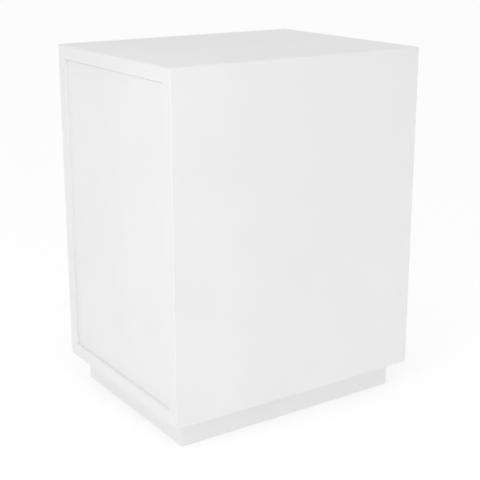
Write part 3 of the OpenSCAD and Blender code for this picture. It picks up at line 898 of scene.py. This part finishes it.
def make_pin_bushes():
    """Blind nylon bushes with a lead-in at the mouth."""
    pin = solids_of("locating_pins")[0]
    bore = pin.size.y / 2 + BUSH_ROOM
    copies = []
    for bush in solids_of("pin_bushes"):
        deep, outer = bush.size.x, bush.size.y / 2
        profile = [
            (0, 0), (outer - BUSH_BACK, 0), (outer, BUSH_BACK), (outer, deep - BUSH_RIM),
            (outer - BUSH_RIM, deep), (bore + BUSH_MOUTH_WIDE, deep), (bore, deep - BUSH_MOUTH_DEEP),
            (bore, BUSH_FLOOR), (0, BUSH_FLOOR),
        ]
        copies.append(laid_along_x(lathed(profile), bush))
    finished(joined(copies), "pin_bush_pair", "pin_bushes", "access_panel", "white_nylon", white_nylon)


# Softwood battens, stops, corner blocks and stretcher

TIMBERS = {
    "corner_batten_front": "z", "corner_batten_rear": "z",
    "top_batten_front": "x", "top_batten_rear": "x", "top_batten_end": "y",
    "stop_front": "z", "stop_rear": "z", "stop_top": "y", "stop_bottom": "y",
    "kick_stretcher": "y",
    "block_front_left": "x", "block_front_right": "x", "block_rear_left": "x", "block_rear_right": "x",
}
TIMBER_SCREWS = ("batten_screws", "stop_screws", "catch_screws", "block_screws", "base_screws")
# The tee nuts: their barrel's radius, and the room above it in the corner block
NUT_BARREL = 6 * MM
NUT_HEADROOM = 0.3 * MM
CLEAR_HOLE = 5.5 * MM


def foot_hole(corner):
    """The stepped hole of a corner block: wide for the tee nut's barrel, then clear of the stem."""
    low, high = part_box("block_" + corner)
    nut = next(s for s in solids_of("tee_nuts") if s.touches(low, high))
    wide = NUT_BARREL + FIT
    top = nut.high.z + NUT_HEADROOM
    profile = [(0, low.z - REACH), (wide, low.z - REACH), (wide, top), (CLEAR_HOLE, top),
               (CLEAR_HOLE, high.z + REACH), (0, high.z + REACH)]
    return moved(lathed(profile), at(foot_place(corner)))


def make_timbers():
    for node, axis in TIMBERS.items():
        low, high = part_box(node)
        timber = eased_block(low, high, TIMBER_ARRIS)
        holes = screw_holes(low, high, *TIMBER_SCREWS)
        if node == "stop_bottom":
            holes += round_holes("locating_pins", low, high)
        if node == "kick_stretcher":
            holes += round_holes("stretcher_dowels", low, high, REACH)
        if node.startswith("block_"):
            holes.append(foot_hole(node.replace("block_", "")))
        for hole in holes:
            timber = combined(timber, hole)
        finished(timber, node + "_timber", node, "carcass", "pine", pine[axis])


# Magnetic catches and pins

CATCHES = [f"catch_{side}_{level}" for side in ("front", "rear") for level in ("upper", "lower")]

# A pin's rounded nose: how far in from its side and how far back from its tip each corner lies
PIN_NOSE = [(1.5 * MM, 0), (0.9 * MM, 0.2 * MM), (0.35 * MM, 0.7 * MM), (0, 1.6 * MM)]
# The groove where it leaves the stop, with sloping sides as long as they are deep
GROOVE_DEEP = 0.4 * MM
GROOVE_LONG = 0.6 * MM
PIN_CHAMFER = 0.6 * MM


def make_catches():
    """Nylon housings with a pocket at the front for a magnet between two pole plates."""
    magnets = solids_of("catch_magnets")
    poles = solids_of("catch_poles")
    for node in CATCHES:
        low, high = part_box(node)
        housing = eased_block(low, high, CATCH_ARRIS)
        inner = [s for s in magnets + poles if s.touches(low, high)]
        pocket_low = Vector([min(s.low[k] for s in inner) for k in range(3)]) - Vector((REACH, 0, 0))
        pocket_high = Vector([max(s.high[k] for s in inner) for k in range(3)])
        housing = combined(housing, block(pocket_low, pocket_high))
        for hole in screw_holes(low, high, "catch_screws"):
            housing = combined(housing, hole)
        finished(housing, node + "_housing", node, "carcass", "white_nylon", white_nylon)
    bars = [eased_block(s.low, s.high, PLATE_ARRIS, steps=2) for s in magnets]
    finished(joined(bars), "catch_magnet_set", "catch_magnets", "carcass", "magnet", ferrite)
    plates = [eased_block(s.low, s.high, PLATE_ARRIS, steps=2) for s in poles]
    finished(joined(plates), "catch_pole_set", "catch_poles", "carcass", "zinc_plated_steel", zinc)


def make_locating_pins():
    """Turned steel pins: a rounded nose, a groove where they meet the stop and a plain tail."""
    stop_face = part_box("stop_bottom")[0].x
    copies = []
    for pin in solids_of("locating_pins"):
        r, length = pin.radius, pin.size.x
        out = stop_face - pin.low.x
        profile = [(0, 0)] + [(r - inward, back) for inward, back in PIN_NOSE] + [
            (r, out - GROOVE_LONG - GROOVE_DEEP), (r - GROOVE_DEEP, out - GROOVE_LONG),
            (r - GROOVE_DEEP, out), (r, out + GROOVE_DEEP),
            (r, length - PIN_CHAMFER), (r - PIN_CHAMFER, length), (0, length),
        ]
        copies.append(laid_along_x(lathed(profile), pin))
    finished(joined(copies), "locating_pin_pair", "locating_pins", "carcass", "zinc_plated_steel", zinc)


# Levelling feet and their nuts

THREAD_PITCH = 1.5 * MM
# The collar stops this far below the tee nut's flange
FOOT_GAP = 0.3 * MM

# Tee nuts: the bore's radius and lead-ins, the flange and its roundings
NUT_BORE = 5 * MM
NUT_LEAD_IN = 0.6 * MM
NUT_LEAD_OUT = 0.4 * MM
NUT_FLANGE = 1.5 * MM
NUT_FACE_ROUND = 0.4 * MM
NUT_EDGE = 0.3 * MM
NUT_FILLET = 0.5 * MM

# Pads, hollow underneath inside a ring that stands on the floor
PAD_HOLLOW = 0.5 * MM
PAD_RING = 6 * MM
PAD_RING_SLOPE = 0.6 * MM
PAD_SOLE = 1.5 * MM
SOLE_STEPS = 4
# Corners over the rim: how far in from it, and how high
PAD_BRIM = [(0, 3.4 * MM), (0.4 * MM, 4.1 * MM), (1.4 * MM, 4.6 * MM)]
PAD_NECK = 9.2 * MM
PAD_NECK_SLOPE = 1 * MM
PAD_NECK_ROUND = 0.35 * MM
PAD_SOCKET = 4.2 * MM
PAD_SOCKET_LEAD = 0.6 * MM
PAD_FLOOR = 1.8 * MM

# Stems: the spigot in the pad, the collar on it, the thread, and the socket for the key
SPIGOT = 4 * MM
SPIGOT_CHAMFER = 0.6 * MM
COLLAR_CORE = 6.2 * MM
COLLAR_CORE_RISE = 1 * MM
COLLAR_CORE_DROP = 0.5 * MM
COLLAR_CHAMFER = 0.9 * MM
COLLAR_ROOM = 0.05 * MM
THREAD_CREST = 4.9 * MM
THREAD_ROOT = 4.25 * MM
THREAD_SINK = 0.97
THREAD_RUN_IN = 0.3
THREAD_STEPS = 24
TOP_CHAMFER = 1.6 * MM
TOP_CHAMFER_IN = 0.5 * MM
KEY_HALF = 2.5 * MM
KEY_DEPTH = 8 * MM
KEY_LEAD = 2.2 * MM
KEY_LEAD_WIDE = 0.5 * MM


def make_tee_nuts():
    """Turned flange and barrel, with a lead-in at each end of the bore."""
    copies = []
    for nut in solids_of("tee_nuts"):
        low, high = nut.low.z, nut.high.z
        flange = nut.size.x / 2
        top = low + NUT_FLANGE
        body = lathed([
            (0, low), (flange - NUT_FACE_ROUND, low), (flange, low + NUT_FACE_ROUND),
            (flange, top - NUT_EDGE), (flange - NUT_EDGE, top),
            (NUT_BARREL + NUT_FILLET, top), (NUT_BARREL, top + NUT_FILLET),
            (NUT_BARREL, high - NUT_EDGE), (NUT_BARREL - NUT_EDGE, high), (0, high),
        ])
        lead_in, lead_out = NUT_BORE + NUT_LEAD_IN + REACH, NUT_BORE + NUT_LEAD_OUT + REACH
        hole = lathed([
            (0, low - REACH), (lead_in, low - REACH), (NUT_BORE, low + NUT_LEAD_IN),
            (NUT_BORE, high - NUT_LEAD_OUT), (lead_out, high + REACH), (0, high + REACH),
        ])
        copies.append(moved(combined(body, hole), at((nut.middle.x, nut.middle.y, 0))))
    finished(joined(copies), "tee_nut_set", "tee_nuts", "carcass", "zinc_plated_steel", zinc)


def make_pad(corner):
    """Moulded nylon pad: rounded foot, shallow ring underneath and a shoulder round the stem."""
    low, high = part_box("pad_" + corner)
    r, top = (high.x - low.x) / 2, high.z
    ring = r - PAD_RING
    turns = [math.pi / 2 * k / SOLE_STEPS for k in range(1, SOLE_STEPS + 1)]
    profile = [(0, PAD_HOLLOW), (ring, PAD_HOLLOW), (ring + PAD_RING_SLOPE, 0), (r - PAD_SOLE, 0)]
    profile += [(r - PAD_SOLE + PAD_SOLE * math.sin(t), PAD_SOLE - PAD_SOLE * math.cos(t)) for t in turns]
    profile += [(r - inward, height) for inward, height in PAD_BRIM]
    profile += [
        (PAD_NECK + PAD_NECK_SLOPE, top - PAD_NECK_ROUND), (PAD_NECK, top),
        (PAD_SOCKET + PAD_SOCKET_LEAD, top), (PAD_SOCKET, top - PAD_SOCKET_LEAD),
        (PAD_SOCKET, PAD_FLOOR), (0, PAD_FLOOR),
    ]
    pad = moved(lathed(profile, FINE), at(foot_place(corner)))
    finished(pad, f"foot_pad_{corner}", "pad_" + corner, "foot_" + corner, "black_nylon", black_nylon)


def stem_shaft(low, high, pad_top, collar_top):
    """The spigot, the collar's round core and the rolled thread, chamfered at the top."""
    core_top = collar_top - COLLAR_CORE_DROP
    core_low = pad_top + COLLAR_CORE_RISE
    shaft = lathed([
        (0, low), (SPIGOT - SPIGOT_CHAMFER, low), (SPIGOT, low + SPIGOT_CHAMFER),
        (SPIGOT, core_low), (COLLAR_CORE, core_low), (COLLAR_CORE, core_top),
        (THREAD_ROOT, core_top), (THREAD_ROOT, high), (0, high),
    ], FINE)
    ridge = thread(THREAD_ROOT * THREAD_SINK, THREAD_CREST, THREAD_PITCH, high + THREAD_PITCH,
                   collar_top + THREAD_PITCH * THREAD_RUN_IN, THREAD_STEPS)
    trim = lathed([
        (0, low - REACH), (THREAD_CREST + REACH, low - REACH), (THREAD_CREST + REACH, high - TOP_CHAMFER),
        (THREAD_ROOT - TOP_CHAMFER_IN, high), (0, high),
    ], FINE)
    return combined(combined(shaft, ridge, "UNION"), trim, "INTERSECT")


def stem_collar(corner, low, high):
    """A hexagon, its six corners chamfered at both ends."""
    flat = corner * math.cos(math.pi / HEXAGON)
    wide = corner + COLLAR_ROOM
    rounding = lathed([
        (0, low - REACH), (flat, low), (wide, low + COLLAR_CHAMFER),
        (wide, high - COLLAR_CHAMFER), (flat, high), (0, high + REACH),
    ], FINEST)
    return combined(many_sided(HEXAGON, corner, low, high), rounding, "INTERSECT")


def stem_pattern():
    """A steel stem: spigot, hexagon collar, rolled thread and a socket for the key in its top."""
    low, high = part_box("stem_front_left")
    pad_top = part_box("pad_front_left")[1].z
    collar_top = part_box("tee_nuts")[0].z - FOOT_GAP
    collar = stem_collar((high.x - low.x) / 2, pad_top, collar_top)
    stem = combined(stem_shaft(low.z, high.z, pad_top, collar_top), collar, "UNION")
    key = KEY_HALF / math.cos(math.pi / HEXAGON)
    socket = many_sided(HEXAGON, key, high.z - KEY_DEPTH, high.z + REACH)
    mouth = key + KEY_LEAD_WIDE + REACH
    lead = lathed([(0, high.z - KEY_LEAD), (mouth, high.z + REACH), (0, high.z + REACH)])
    return combined(combined(stem, socket), lead)


def make_stems():
    """The four stems, each turned by one more flat of its hexagon."""
    pattern = stem_pattern()
    for flats, corner in enumerate(CORNERS):
        turn = Matrix.Rotation(flats * 2 * math.pi / HEXAGON, 4, "Z")
        stem = moved(pattern.copy(), at(foot_place(corner)) @ turn)
        finished(stem, f"foot_stem_{corner}", "stem_" + corner, "foot_" + corner, "zinc_plated_steel", zinc)


make_body_boards()
make_kick_boards()
make_access_panel()
make_strike_plates()
make_pin_bushes()
make_timbers()
make_catches()
make_locating_pins()
make_screws()
make_dowels("deck_dowels", "deck_dowel_set")
make_dowels("stretcher_dowels", "stretcher_dowel_set")
for node in TONGUES:
    make_tongue(node)
make_tee_nuts()
for corner in CORNERS:
    make_pad(corner)
make_stems()


# Camera, floor and light

SENSOR = 36
LENS = 79.3
LENS_SHIFT = -0.05
LOOK_TURN = math.radians(-34.03)
LOOK_DOWN = math.radians(15.54)
LOOK_AT = Vector((0.0051, -0.0035, 0.3332))
LOOK_FROM = 1.9764

FLOOR_HALF = 12.0
FLOOR_LEVEL = 0.8
FLOOR_GLOW = 0.295

# The surround's strength at the horizon and overhead
HORIZON = 0.44
ZENITH = 1.05

# Softboxes: where each one is, what it points at, its width and height, and its power in watts
SOFTBOXES = {
    "left softbox": ((-1.05, -0.7, 0.8), (-0.25, -0.2, 0.4), (0.5, 0.5), 1.7),
    "high softbox": ((-0.5, -1.3, 1.8), (-0.1, -0.2, 0.45), (0.7, 0.7), 1.0),
}


def make_camera():
    data = bpy.data.cameras.new("camera")
    data.lens = LENS
    data.sensor_width = SENSOR
    data.shift_y = LENS_SHIFT
    camera = bpy.data.objects.new("camera", data)
    bpy.context.scene.collection.objects.link(camera)
    camera.rotation_euler = (math.pi / 2 - LOOK_DOWN, 0, LOOK_TURN)
    back = Vector((0, 0, 1))
    back.rotate(camera.rotation_euler)
    camera.location = LOOK_AT + back * LOOK_FROM
    bpy.context.scene.camera = camera


def make_floor():
    """A wide pale floor that glows a little, as a lit table does."""
    bm = bmesh.new()
    bmesh.ops.create_grid(bm, x_segments=1, y_segments=1, size=FLOOR_HALF)
    mesh = bpy.data.meshes.new("floor")
    bm.to_mesh(mesh)
    bm.free()
    floor = bpy.data.objects.new("floor", mesh)
    bpy.context.scene.collection.objects.link(floor)
    f = Finish("pale floor")
    mesh.materials.append(f.set(
        Base_Color=grey(FLOOR_LEVEL), Roughness=0.9, Specular_IOR_Level=0.1,
        Emission_Color=grey(1.0), Emission_Strength=FLOOR_GLOW,
    ))


def make_world():
    """A pale grey surround, brighter overhead."""
    world = bpy.data.worlds.new("studio")
    world.use_nodes = True
    tree = world.node_tree
    place = tree.nodes.new("ShaderNodeTexCoord")
    split = tree.nodes.new("ShaderNodeSeparateXYZ")
    spread = tree.nodes.new("ShaderNodeMapRange")
    spread.inputs["To Min"].default_value = HORIZON
    spread.inputs["To Max"].default_value = ZENITH
    background = tree.nodes["Background"]
    background.inputs["Color"].default_value = grey(1.0)
    tree.links.new(place.outputs["Generated"], split.inputs[0])
    tree.links.new(split.outputs["Z"], spread.inputs["Value"])
    tree.links.new(spread.outputs[0], background.inputs["Strength"])
    bpy.context.scene.world = world


def make_light(name, place, aim, size, power):
    data = bpy.data.lights.new(name, "AREA")
    data.shape = "RECTANGLE"
    data.size, data.size_y = size
    data.energy = power
    lamp = bpy.data.objects.new(name, data)
    bpy.context.scene.collection.objects.link(lamp)
    lamp.location = place
    lamp.rotation_euler = (Vector(aim) - Vector(place)).to_track_quat("-Z", "Y").to_euler()


bpy.context.scene.view_settings.view_transform = "Standard"
bpy.context.scene.view_settings.look = "None"
make_camera()
make_floor()
make_world()
for name, (place, aim, size, power) in SOFTBOXES.items():
    make_light(name, place, aim, size, power)
